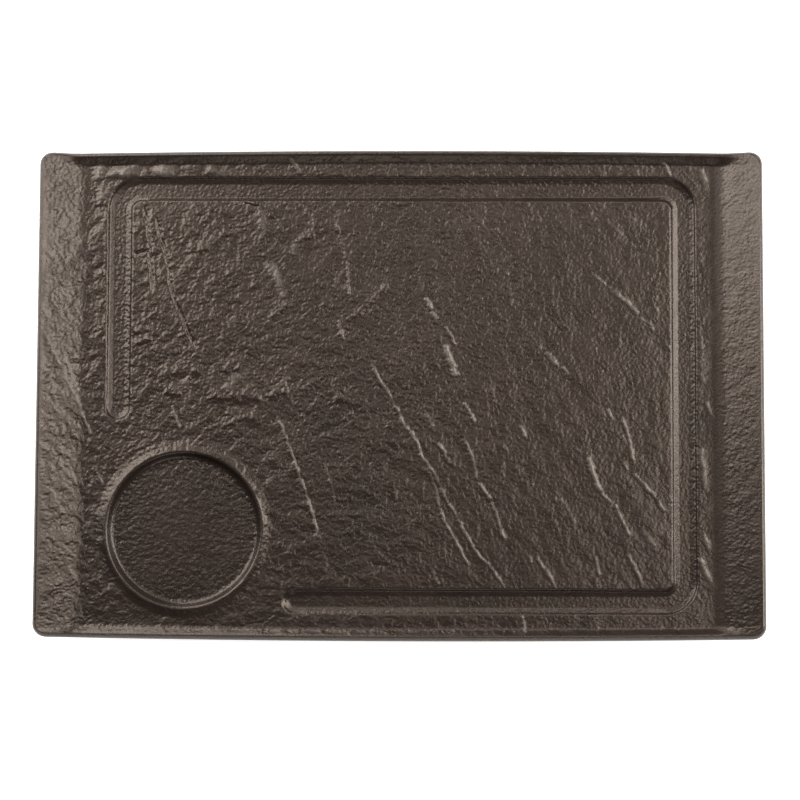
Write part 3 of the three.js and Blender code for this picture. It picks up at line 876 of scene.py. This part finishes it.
class Shell:
    """Points and faces of a mesh as they are made, with a place on the bake sheet for each face corner."""

    def __init__(self):
        self.points = []
        self.crests = []
        self.faces = []
        self.sheets = []
        self.kinds = []
        self.count = 0

    def add_points(self, points, crest=0):
        points = np.asarray(points, float).reshape(-1, 3)
        numbers = np.arange(self.count, self.count + len(points))
        self.points.append(points)
        self.crests.append(np.broadcast_to(np.ravel(crest), len(points)))
        self.count += len(points)
        return numbers

    def add_faces(self, faces, sheet, kind=GLAZED):
        self.faces.append(np.asarray(faces, int))
        self.sheets.append(np.asarray(sheet, float))
        self.kinds.append(np.full(len(faces), kind))

    def places(self, numbers):
        return np.concatenate(self.points)[numbers]

    def build(self, name, materials):
        mesh = bpy.data.meshes.new(name)
        points = np.concatenate(self.points) * MM
        corners = np.concatenate([faces.ravel() for faces in self.faces])
        sizes = np.concatenate([np.full(len(faces), faces.shape[1]) for faces in self.faces])
        sheet = np.concatenate([sheet.reshape(-1, 2) for sheet in self.sheets])
        mesh.vertices.add(len(points))
        mesh.vertices.foreach_set("co", points.ravel())
        mesh.loops.add(len(corners))
        mesh.loops.foreach_set("vertex_index", corners.astype(np.int32))
        mesh.polygons.add(len(sizes))
        starts = np.concatenate([[0], np.cumsum(sizes)[:-1]])
        mesh.polygons.foreach_set("loop_start", starts.astype(np.int32))
        mesh.polygons.foreach_set("material_index", np.concatenate(self.kinds).astype(np.int32))
        mesh.update(calc_edges=True)
        mesh.uv_layers.new(name="OFBake").data.foreach_set("uv", sheet.ravel())
        crest = mesh.attributes.new("crest", "FLOAT", "POINT")
        crest.data.foreach_set("value", np.concatenate(self.crests).astype(np.float32))
        mesh.shade_smooth()
        for material in materials:
            mesh.materials.append(material)
        piece = bpy.data.objects.new(name, mesh)
        bpy.context.scene.collection.objects.link(piece)
        return piece


def flat_sheet(points, sheet):
    """Place of flat points on the bake sheet."""
    left, bottom, width = sheet
    return (points + [LENGTH / 2, WIDTH / 2]) * (width / LENGTH) + [left, bottom]


def with_height(plan, height):
    return np.column_stack([plan, np.broadcast_to(height, len(plan))])


def circle(centre, radius, turns):
    """Plan of a circle, counter-clockwise."""
    turn = 2 * math.pi * np.arange(turns) / turns
    return np.stack([centre[0] + radius * np.cos(turn), centre[1] + radius * np.sin(turn)], 1)


def stations(marks, steps):
    """Positions from the first mark to the last, with about the given step between each two marks."""
    runs = []
    for start, end, step in zip(marks[:-1], marks[1:], steps):
        runs.append(np.linspace(start, end, max(1, round((end - start) / step)), endpoint=False))
    return np.concatenate([*runs, [marks[-1]]])


def mirrored(half):
    return np.concatenate([-half[:0:-1], half])


def top_lines():
    """Lines of the top grid along x and along y, and the y past which they follow the bowed sides."""
    margin = GROOVE_WIDTH / 2 + GROOVE_MARGIN
    corner = LENGTH / 2 - CORNER_RADIUS
    crease = [wing_crease - CREASE_MARGIN, wing_crease + CREASE_MARGIN]
    marks = [0, GROOVE_X - margin, GROOVE_RIGHT_X + margin, *crease, corner]
    along = stations(marks, [PLAIN_STEP, EDGE_STEP, PLAIN_STEP, EDGE_STEP, PLAIN_STEP])
    turn = np.linspace(0, math.pi / 2, CORNER_STEPS + 1)[1:]
    along = np.concatenate([along, corner + (CORNER_RADIUS - RIM_NOSE) * np.sin(turn)])
    marks = [0, GROOVE_Y - margin, GROOVE_Y + margin, half_width(0, RIM_NOSE)]
    across = stations(marks, [PLAIN_STEP, EDGE_STEP, EDGE_STEP])
    return mirrored(along), mirrored(across), GROOVE_Y + margin


def top_grid():
    """Plan of the top grid, in rows along x: straight lines inside, bowed ones near the sides."""
    along, across, straight = top_lines()
    x, y = np.meshgrid(along, across)
    stretch = (half_width(x, RIM_NOSE) - straight) / (half_width(0, RIM_NOSE) - straight)
    bowed = np.sign(y) * (straight + (np.abs(y) - straight) * stretch)
    return x, np.where(np.abs(y) > straight, bowed, y)


def edge_loop(grid):
    """Values round the edge of a grid, counter-clockwise from its first corner."""
    return np.concatenate([grid[0, :-1], grid[:-1, -1], grid[-1, :0:-1], grid[:0:-1, 0]])


def outline_of(x, y):
    """The grid's edge, counter-clockwise: plan, outward directions and shares of each side."""
    edge_x = edge_loop(x)
    edge_y = edge_loop(y)
    corner_x = LENGTH / 2 - CORNER_RADIUS
    corner_y = straight_half(LENGTH / 2) - CORNER_RADIUS
    on_end = np.isclose(np.abs(edge_x), LENGTH / 2 - RIM_NOSE)
    past = np.clip((np.abs(edge_x) - corner_x) / (CORNER_RADIUS - RIM_NOSE), 0, 1)
    out_x = np.where(on_end, 1, past) * np.sign(edge_x)
    out_y = np.where(on_end, 0, np.sqrt(1 - past**2)) * np.sign(edge_y)
    share_x = np.where(on_end, np.sign(edge_x), np.clip(edge_x / corner_x, -1, 1))
    share_y = np.where(on_end, edge_y / corner_y, np.sign(edge_y))
    return [np.stack(pair, 1) for pair in ((edge_x, edge_y), (out_x, out_y), (share_x, share_y))]


def filled(loops):
    """Triangles between a first loop of plan points and the convex loops in it; they number all points."""
    edges = []
    start = 0
    for loop in loops:
        numbers = list(range(start, start + len(loop)))
        edges += list(zip(numbers, numbers[1:] + numbers[:1]))
        start += len(loop)
    points = [Vector(point) for point in np.concatenate(loops)]
    inside = 1
    result = delaunay_2d_cdt(points, edges, [], inside, MERGE_DISTANCE)
    origins = [found[0] for found in result[3]]
    faces = np.array([[origins[corner] for corner in face] for face in result[2]])
    loop_of = np.repeat(np.arange(len(loops)), [len(loop) for loop in loops])[faces]
    in_hole = (loop_of[:, 0] > 0) & (loop_of.min(1) == loop_of.max(1))
    return faces[~in_hole]


def strip(shell, upper, lower, v_upper, v_lower, kind=GLAZED):
    """Faces between two rings of points, which face outwards where the second ring is below the first."""
    count = len(upper)
    left, bottom, width = STRIP_SHEET
    after = np.roll(np.arange(count), -1)
    faces = np.stack([upper, lower, lower[after], upper[after]], 1)
    u = left + width * np.arange(count + 1) / count
    rows = bottom + STRIP_HEIGHT * np.array([v_upper, v_lower, v_lower, v_upper])
    columns = np.stack([u[:-1], u[:-1], u[1:], u[1:]], 1)
    sheet = np.stack([columns, np.broadcast_to(rows, columns.shape)], -1)
    shell.add_faces(faces, sheet, kind)


def add_surface(shell, x, y):
    """Points of the top side with its relief, at places of the plan; gives numbers and bake places."""
    rises, crest = relief(x, y)
    numbers = shell.add_points(np.stack([x, y, plain_top(x, y) + rises], -1), crest)
    return numbers.reshape(x.shape), flat_sheet(np.stack([x, y], -1), TOP_SHEET)


def grid_quads(grid):
    """Values at the corners of each cell of a grid, counter-clockwise."""
    return np.stack([grid[:-1, :-1], grid[:-1, 1:], grid[1:, 1:], grid[1:, :-1]], 2)


def disc_grid(radius):
    """Plan of a square grid drawn out to a disc in the seat, with cells that stay even."""
    side = np.linspace(-1, 1, SEAT_TURNS // 4 + 1)
    across, upward = np.meshgrid(side, side)
    sideways = np.abs(across) > np.abs(upward)
    reach = np.where(sideways, across, upward)
    lesser = np.where(sideways, upward, across)
    turn = math.pi / 4 * lesser / np.where(reach == 0, 1, reach)
    main = radius * reach * np.cos(turn)
    other = radius * reach * np.sin(turn)
    return SEAT_X + np.where(sideways, main, other), SEAT_Y + np.where(sideways, other, main)


def stair_loop(kept, numbers):
    """Numbers of the grid points round the hole in the grid, in order."""
    following = {}
    cells = grid_quads(numbers)
    for row, column in np.argwhere(~kept):
        corners = cells[row, column]
        beside = [(row - 1, column), (row, column + 1), (row + 1, column), (row, column - 1)]
        for side, neighbour in enumerate(beside):
            if kept[neighbour]:
                following[corners[side]] = corners[(side + 1) % 4]
    start = next(iter(following))
    loop = [start]
    while following[loop[-1]] != start:
        loop.append(following[loop[-1]])
    return np.array(loop)


def add_seat(shell):
    """The seat's disc and the rings round it. Gives the outermost ring's numbers and bake places."""
    rings = stations([SEAT_DISC, SEAT_WALL_END, SEAT_PATCH], [WALL_STEP, PLAIN_STEP])[::-1]
    disc, disc_sheet = add_surface(shell, *disc_grid(rings[-1]))
    shell.add_faces(grid_quads(disc).reshape(-1, 4), grid_quads(disc_sheet).reshape(-1, 4, 2))
    turn = 2 * math.pi * np.arange(SEAT_TURNS) / SEAT_TURNS - 3 * math.pi / 4
    ring_x = SEAT_X + rings[:-1, None] * np.cos(turn)
    ring_y = SEAT_Y + rings[:-1, None] * np.sin(turn)
    numbers, sheet = add_surface(shell, ring_x, ring_y)
    numbers = np.vstack([numbers, edge_loop(disc)])
    sheet = np.concatenate([sheet, edge_loop(disc_sheet)[None]])
    after = np.roll(np.arange(SEAT_TURNS), -1)
    for outer, inner, outer_sheet, inner_sheet in zip(numbers[:-1], numbers[1:], sheet[:-1], sheet[1:]):
        faces = np.stack([outer, outer[after], inner[after], inner], 1)
        corners = np.stack([outer_sheet, outer_sheet[after], inner_sheet[after], inner_sheet], 1)
        shell.add_faces(faces, corners)
    return numbers[0], sheet[0]


def add_top(shell):
    """The top side: a grid with a round patch at the seat. Gives the edge's numbers and the outline."""
    x, y = top_grid()
    numbers, sheet = add_surface(shell, x, y)
    outside = from_seat(x, y) > SEAT_PATCH + PLAIN_STEP / 2
    kept = grid_quads(outside).all(2)
    shell.add_faces(grid_quads(numbers)[kept], grid_quads(sheet)[kept])
    ring, ring_sheet = add_seat(shell)
    stairs = stair_loop(kept, numbers)
    joined = np.concatenate([stairs, ring])
    joined_sheet = np.concatenate([sheet.reshape(-1, 2)[stairs], ring_sheet])
    bridge = filled([shell.places(stairs)[:, :2], shell.places(ring)[:, :2]])
    shell.add_faces(joined[bridge], joined_sheet[bridge])
    return edge_loop(numbers), outline_of(x, y)


def add_rings(shell, ring, rows):
    """Rings joined by strips, each with points, surface kind and painted highlight; gives the last ring's
    numbers.
    """
    for number, (points, kind, glaze) in enumerate(rows):
        # The third value of each row is its painted highlight
        following = shell.add_points(points, glaze)
        strip(shell, ring, following, number / len(rows), (number + 1) / len(rows), kind)
        ring = following
    return ring


def rounded_ring(outline, half, corner, out):
    """Plan of a rounded rectangle moved out from its half sizes, with a point for each of the outline's."""
    _, outward, shares = outline
    return shares * (half - corner) + outward * (corner + out)


def foot_rows(outline, half, corner, outs, heights, kind):
    """Rows of rounded rectangles, each moved out from the half sizes and set at its height."""
    rows = []
    for out, height in zip(outs, heights):
        rows.append((with_height(rounded_ring(outline, half, corner, out), height), kind, 0))
    return rows


def nose_rows(outline, rim):
    """Rows round the rim's nose from the top side to the underside, with a painted highlight on its edge."""
    plan, outward, _ = outline
    bevel = NOSE_BEVEL + FRONT_BEVEL * np.maximum(-outward[:, 1], 0)
    rows = []
    for turn in math.pi * np.linspace(0, 1, NOSE_STEPS + 1)[1:] ** NOSE_CROWDING:
        fall = 1 - math.cos(turn)
        if turn < math.pi / 2:
            fall = fall + bevel * (math.sin(turn) - fall)
        points = with_height(plan + outward * RIM_NOSE * math.sin(turn), rim - RIM_THICKNESS / 2 * fall)
        # Painted highlight, strongest on the nose's outermost edge
        rows.append((points, GLAZED, EDGE_HIGHLIGHT * math.sin(turn) ** EDGE_HIGHLIGHT_POWER))
    return rows


def under_rows(outline, half):
    """Rows of the underside, from the rim in to the fillet round the foot."""
    plan = outline[0]
    fillet = rounded_ring(outline, half, FOOT_CORNER, FOOT_FILLET)
    rows = []
    for share in np.linspace(0, 1, UNDER_STEPS + 1)[1:]:
        between = plan + (fillet - plan) * share
        rows.append((with_height(between, plain_under(between[:, 0], between[:, 1])), GLAZED, 0))
    return rows


def add_pocket(shell, centre):
    """A pocket for a pad. Gives the numbers of its rim."""
    rim = circle(centre, (PAD_DIAMETER + POCKET_CLEARANCE) / 2, POCKET_TURNS)
    lower = shell.add_points(with_height(rim, FOOT_Z))
    upper = shell.add_points(with_height(rim, PAD_HEIGHT))
    strip(shell, lower, upper, 0, 1, BARE)
    shell.add_faces(upper[None, ::-1], flat_sheet(rim[::-1], FOOT_SHEET)[None], BARE)
    return lower


def make_body(glaze, bisque):
    """The platter body as one closed mesh."""
    shell = Shell()
    edge, outline = add_top(shell)
    rim = shell.places(edge)[:, 2]
    half = np.array([LENGTH / 2 - FOOT_END_INSET, WIDTH / 2 - FOOT_SIDE_INSET])
    sine = 1 - np.sin(QUARTER)
    cosine = 1 - np.cos(QUARTER)
    sole_edge = 2 * FOOT_ROUND

    outer = (outline, half, FOOT_CORNER)
    rows = nose_rows(outline, rim) + under_rows(outline, half)
    rows += foot_rows(*outer, FOOT_FILLET * sine[1:], BASE_Z - FOOT_FILLET * cosine[1:], GLAZED)
    rows += foot_rows(*outer, -FOOT_ROUND * cosine, FOOT_Z + FOOT_ROUND * sine, BARE)
    rows += foot_rows(*outer, [-sole_edge], [FOOT_Z], BARE)
    outer_sole = add_rings(shell, edge, rows)

    inner = (outline, half - FOOT_BAND, HOLLOW_CORNER)
    inner_sole = shell.add_points(with_height(rounded_ring(*inner, sole_edge), FOOT_Z))
    rows = foot_rows(*inner, FOOT_ROUND * sine, FOOT_Z + FOOT_ROUND * cosine, BARE)
    rows += foot_rows(*inner, -FOOT_FILLET * cosine, BASE_Z - FOOT_FILLET * sine, GLAZED)
    rows += foot_rows(*inner, [-2 * FOOT_FILLET], [BASE_Z], GLAZED)
    roof = add_rings(shell, inner_sole, rows)[::-1]
    shell.add_faces(roof[None], flat_sheet(shell.places(roof)[:, :2], FOOT_SHEET)[None])

    joined = [outer_sole, inner_sole]
    for centre in pad_places():
        joined.append(add_pocket(shell, centre))
    loops = [shell.places(loop)[:, :2] for loop in joined]
    faces = filled(loops)[:, ::-1]
    sole_sheet = flat_sheet(np.concatenate(loops), FOOT_SHEET)
    shell.add_faces(np.concatenate(joined)[faces], sole_sheet[faces], BARE)
    return shell.build("platter_slate", [glaze, bisque])


def pad_places():
    """Centres of the four pads, which lie in the corners of the foot."""
    places = []
    for pad_name in PAD_NAMES:
        low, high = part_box("pad_" + pad_name)
        places.append(((low.x + high.x) / 2 / MM, (low.y + high.y) / 2 / MM))
    return places


# Materials

# Textures: cells per metre, detail and roughness
CLOUDS = (38, 4, 0.6)
PATCHES = (120, 3, 0.6)
PITS = (900, 2, 0.55)
SKIN = (2600, 2, 0.5)
CLAY_CLOUDS = (300, 4, 0.65)
CLAY_GRIT = (2200, 3, 0.6)
BLOOM = (700, 3, 0.6)
MOULD = (4000, 2, 0.5)

# Bumps: depth in metres and strength
PIT_BUMP = (0.0003, 0.42)
SKIN_BUMP = (0.00003, 0.3)
GRIT_BUMP = (0.00008, 0.6)
MOULD_BUMP = (0.00003, 0.5)

# Colours over a texture, as stops of position and colour, and ranges, as low and high to low and high
GLAZE_COLOURS = [(0.3, (0.0122, 0.0079, 0.0062)), (0.7, (0.0185, 0.0119, 0.0093))]
GLAZE_ROUGHNESS = (0.25, 0.75, 0.23, 0.33)
GLAZE_IOR = 1.5
GLAZE_TINT = (1, 0.84, 0.71, 1)
# Painted highlight on crests: its colour and the range that brings it in
CREST_HIGHLIGHT_COLOUR = (0.08, 0.069, 0.058, 1)
CREST_HIGHLIGHT_SHARE = (0.05, 0.9, 0, 1)
# Painted highlight on the rim's edge: its pale grey colour and the range that brings it in
EDGE_HIGHLIGHT_COLOUR = (0.16, 0.155, 0.13, 1)
EDGE_HIGHLIGHT_SHARE = (1.2, 2, 0, 1)
CLAY_COLOURS = [(0.3, (0.10, 0.08, 0.065)), (0.7, (0.16, 0.135, 0.115))]
CLAY_ROUGHNESS = 0.85
SILICONE_COLOURS = [(0.3, (0.026, 0.026, 0.028)), (0.75, (0.042, 0.042, 0.044))]
SILICONE_ROUGHNESS = (0.3, 0.7, 0.6, 0.75)


def new_material(name):
    """A material, its node tree and the inputs of its surface."""
    material = bpy.data.materials.new(name)
    material.use_nodes = True
    return material, material.node_tree, material.node_tree.nodes["Principled BSDF"].inputs


def noise_node(tree, scale, detail, rough):
    """A noise texture in the object's own coordinates, in cells per metre."""
    place = tree.nodes.new("ShaderNodeTexCoord")
    texture = tree.nodes.new("ShaderNodeTexNoise")
    texture.inputs["Scale"].default_value = scale
    texture.inputs["Detail"].default_value = detail
    texture.inputs["Roughness"].default_value = rough
    tree.links.new(place.outputs["Object"], texture.inputs["Vector"])
    return texture.outputs["Fac"]


def ramp_node(tree, source, stops):
    """A colour ramp over the source; stops are pairs of position and colour."""
    ramp = tree.nodes.new("ShaderNodeValToRGB")
    for element, (position, colour) in zip(ramp.color_ramp.elements, stops):
        element.position = position
        element.color = (*colour, 1)
    tree.links.new(source, ramp.inputs["Fac"])
    return ramp.outputs["Color"]


def bump_node(tree, source, distance, strength):
    bump = tree.nodes.new("ShaderNodeBump")
    bump.inputs["Distance"].default_value = distance
    bump.inputs["Strength"].default_value = strength
    tree.links.new(source, bump.inputs["Height"])
    return bump


def range_node(tree, source, low, high, to_low, to_high):
    span = tree.nodes.new("ShaderNodeMapRange")
    span.inputs["From Min"].default_value = low
    span.inputs["From Max"].default_value = high
    span.inputs["To Min"].default_value = to_low
    span.inputs["To Max"].default_value = to_high
    tree.links.new(source, span.inputs["Value"])
    return span.outputs["Result"]


def mix_node(tree, factor, under, colour):
    """A colour laid over another where the factor is high."""
    mix = tree.nodes.new("ShaderNodeMix")
    mix.data_type = "RGBA"
    mix.inputs["B"].default_value = colour
    tree.links.new(factor, mix.inputs["Factor"])
    tree.links.new(under, mix.inputs["A"])
    return mix.outputs["Result"]


def glaze_material():
    """Satin dark glaze: clouded brown-grey, with painted highlights on crests and on the rim's edge, and fine
    pitting.
    """
    material, tree, surface = new_material("satin_glaze")
    body_colour = ramp_node(tree, noise_node(tree, *CLOUDS), GLAZE_COLOURS)
    crest = tree.nodes.new("ShaderNodeAttribute")
    crest.attribute_name = "crest"
    # Painted highlight: crests coloured paler
    crest_highlight = range_node(tree, crest.outputs["Fac"], *CREST_HIGHLIGHT_SHARE)
    crest_highlight_mix = mix_node(tree, crest_highlight, body_colour, CREST_HIGHLIGHT_COLOUR)
    # Painted highlight: pale grey along the rim's edge
    edge_highlight = range_node(tree, crest.outputs["Fac"], *EDGE_HIGHLIGHT_SHARE)
    tree.links.new(mix_node(tree, edge_highlight, crest_highlight_mix, EDGE_HIGHLIGHT_COLOUR), surface["Base Color"])
    patches = noise_node(tree, *PATCHES)
    tree.links.new(range_node(tree, patches, *GLAZE_ROUGHNESS), surface["Roughness"])
    pits = bump_node(tree, noise_node(tree, *PITS), *PIT_BUMP)
    skin = bump_node(tree, noise_node(tree, *SKIN), *SKIN_BUMP)
    tree.links.new(pits.outputs["Normal"], skin.inputs["Normal"])
    tree.links.new(skin.outputs["Normal"], surface["Normal"])
    surface["IOR"].default_value = GLAZE_IOR
    surface["Specular Tint"].default_value = GLAZE_TINT
    return material


def bisque_material():
    """Bare fired clay on the foot: matte, warm grey, with darker specks."""
    material, tree, surface = new_material("bare_clay")
    clouds = noise_node(tree, *CLAY_CLOUDS)
    tree.links.new(ramp_node(tree, clouds, CLAY_COLOURS), surface["Base Color"])
    surface["Roughness"].default_value = CLAY_ROUGHNESS
    grit = bump_node(tree, noise_node(tree, *CLAY_GRIT), *GRIT_BUMP)
    tree.links.new(grit.outputs["Normal"], surface["Normal"])
    return material


def silicone_material():
    """Matte dark silicone with a faint bloom and a fine mould texture."""
    material, tree, surface = new_material("pad_silicone")
    bloom = noise_node(tree, *BLOOM)
    tree.links.new(ramp_node(tree, bloom, SILICONE_COLOURS), surface["Base Color"])
    tree.links.new(range_node(tree, bloom, *SILICONE_ROUGHNESS), surface["Roughness"])
    mould = bump_node(tree, noise_node(tree, *MOULD), *MOULD_BUMP)
    tree.links.new(mould.outputs["Normal"], surface["Normal"])
    return material


# Silicone pads under the foot


def make_pad(name, centre, material):
    """A turned silicone pad: rounded edge, and a shallow dish in its sole that grips the table."""
    radius = PAD_DIAMETER / 2
    dish = radius * PAD_DISH_REACH
    profile = [(PAD_CAP_RADIUS, PAD_DISH), (dish, PAD_DISH), (radius * PAD_SOLE_REACH, 0)]
    for turn in QUARTER:
        profile.append((radius - PAD_ROUND * (1 - math.sin(turn)), PAD_ROUND * (1 - math.cos(turn))))
    profile += [(radius, PAD_HEIGHT - PAD_BEVEL), (radius - PAD_BEVEL, PAD_HEIGHT)]
    profile.append((PAD_CAP_RADIUS, PAD_HEIGHT))
    shell = Shell()
    rings = []
    for out, height in profile:
        rings.append(shell.add_points(with_height(circle(centre, out, PAD_TURNS), height)))
    for number in range(len(rings) - 1):
        strip(shell, rings[number + 1], rings[number], (number + 1) / len(rings), number / len(rings))
    sole_sheet = circle(PAD_SOLE_SHEET, PAD_SHEET_RADIUS, PAD_TURNS)
    top_sheet = circle(PAD_TOP_SHEET, PAD_SHEET_RADIUS, PAD_TURNS)
    shell.add_faces(rings[0][None, ::-1], sole_sheet[None, ::-1])
    shell.add_faces(rings[-1][None], top_sheet[None])
    return shell.build(name, [material])


# Studio

# Soft boxes: name, azimuth, elevation and watts; distances and sizes are metres
SOFTBOXES = [
    ("right_low", 0, 20, 3.75),
    ("rear_left_low", 112, 20, 2.55),
    ("left_rear_low", 157, 20, 2.7),
    ("front_low", 270, 20, 0.68),
    ("right_rear_high", 22, 45, 3.4),
    ("rear_right_high", 67, 45, 1.25),
    ("left_rear_high", 135, 45, 2.0),
    ("left_high", 157, 45, 1.5),
]
SOFTBOX_DISTANCE = 0.75
SOFTBOX_SIZE = (0.4, 0.3)
OVERHEADS = [
    ("overhead_right", 0, 66, 4.2),
    ("overhead_left", 135, 66, 2.2),
]
OVERHEAD_DISTANCE = 1.4
OVERHEAD_SIZE = (0.6, 0.6)
FLOOR_SIZE = 8.0
FLOOR_COLOUR = (0.9, 0.9, 0.9, 1)
FLOOR_ROUGHNESS = 0.7
FLOOR_GLOW = 0.8
SURROUND_STRENGTH = 0.05
WHITE = (1, 1, 1, 1)


def softbox(name, azimuth, elevation, watts, distance, size):
    """A rectangular soft light that looks at the platter; azimuth 0 is at +X and 90 at the rear."""
    light = bpy.data.lights.new(name, "AREA")
    light.shape = "RECTANGLE"
    light.size, light.size_y = size
    light.energy = watts
    lamp = bpy.data.objects.new(name, light)
    direction = Vector(direction_of(azimuth, elevation))
    lamp.location = direction * distance
    lamp.rotation_euler = direction.to_track_quat("Z", "Y").to_euler()
    bpy.context.scene.collection.objects.link(lamp)


def make_studio():
    """White floor, soft boxes and a pale surround."""
    scene = bpy.context.scene
    half = FLOOR_SIZE / 2
    corners = [(-half, -half, 0), (half, -half, 0), (half, half, 0), (-half, half, 0)]
    mesh = bpy.data.meshes.new("studio_floor")
    mesh.from_pydata(corners, [], [(0, 1, 2, 3)])
    floor = bpy.data.objects.new("studio_floor", mesh)
    scene.collection.objects.link(floor)
    material, _, surface = new_material("studio_white")
    surface["Base Color"].default_value = FLOOR_COLOUR
    surface["Roughness"].default_value = FLOOR_ROUGHNESS
    surface["Emission Color"].default_value = WHITE
    surface["Emission Strength"].default_value = FLOOR_GLOW
    mesh.materials.append(material)
    for values in SOFTBOXES:
        softbox(*values, SOFTBOX_DISTANCE, SOFTBOX_SIZE)
    for values in OVERHEADS:
        softbox(*values, OVERHEAD_DISTANCE, OVERHEAD_SIZE)
    world = bpy.data.worlds.new("studio_surround")
    world.use_nodes = True
    background = world.node_tree.nodes["Background"].inputs
    background["Color"].default_value = WHITE
    background["Strength"].default_value = SURROUND_STRENGTH
    scene.world = world
    scene.view_settings.view_transform = "Standard"


def make_camera():
    """A camera at the photograph's viewing angle and framing."""
    data = bpy.data.cameras.new("photo_camera")
    data.sensor_width = SENSOR
    data.lens = FOCAL_PIXELS * SENSOR / PHOTO_SIZE
    camera = bpy.data.objects.new("photo_camera", data)
    right, up, back = camera_axes()
    eye = (CAMERA_AIM + back * CAMERA_DISTANCE) * MM
    turn = Matrix((right, up, back)).transposed().to_4x4()
    camera.matrix_world = Matrix.Translation(Vector(eye)) @ turn
    bpy.context.scene.collection.objects.link(camera)
    bpy.context.scene.camera = camera


make_camera()
make_studio()

body = make_body(glaze_material(), bisque_material())
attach(body, "root")
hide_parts("platter_body")

silicone = silicone_material()
for pad_name, pad_centre in zip(PAD_NAMES, pad_places()):
    pad = make_pad("silicone_pad_" + pad_name, pad_centre, silicone)
    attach(pad, "root")
    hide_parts("pad_" + pad_name)
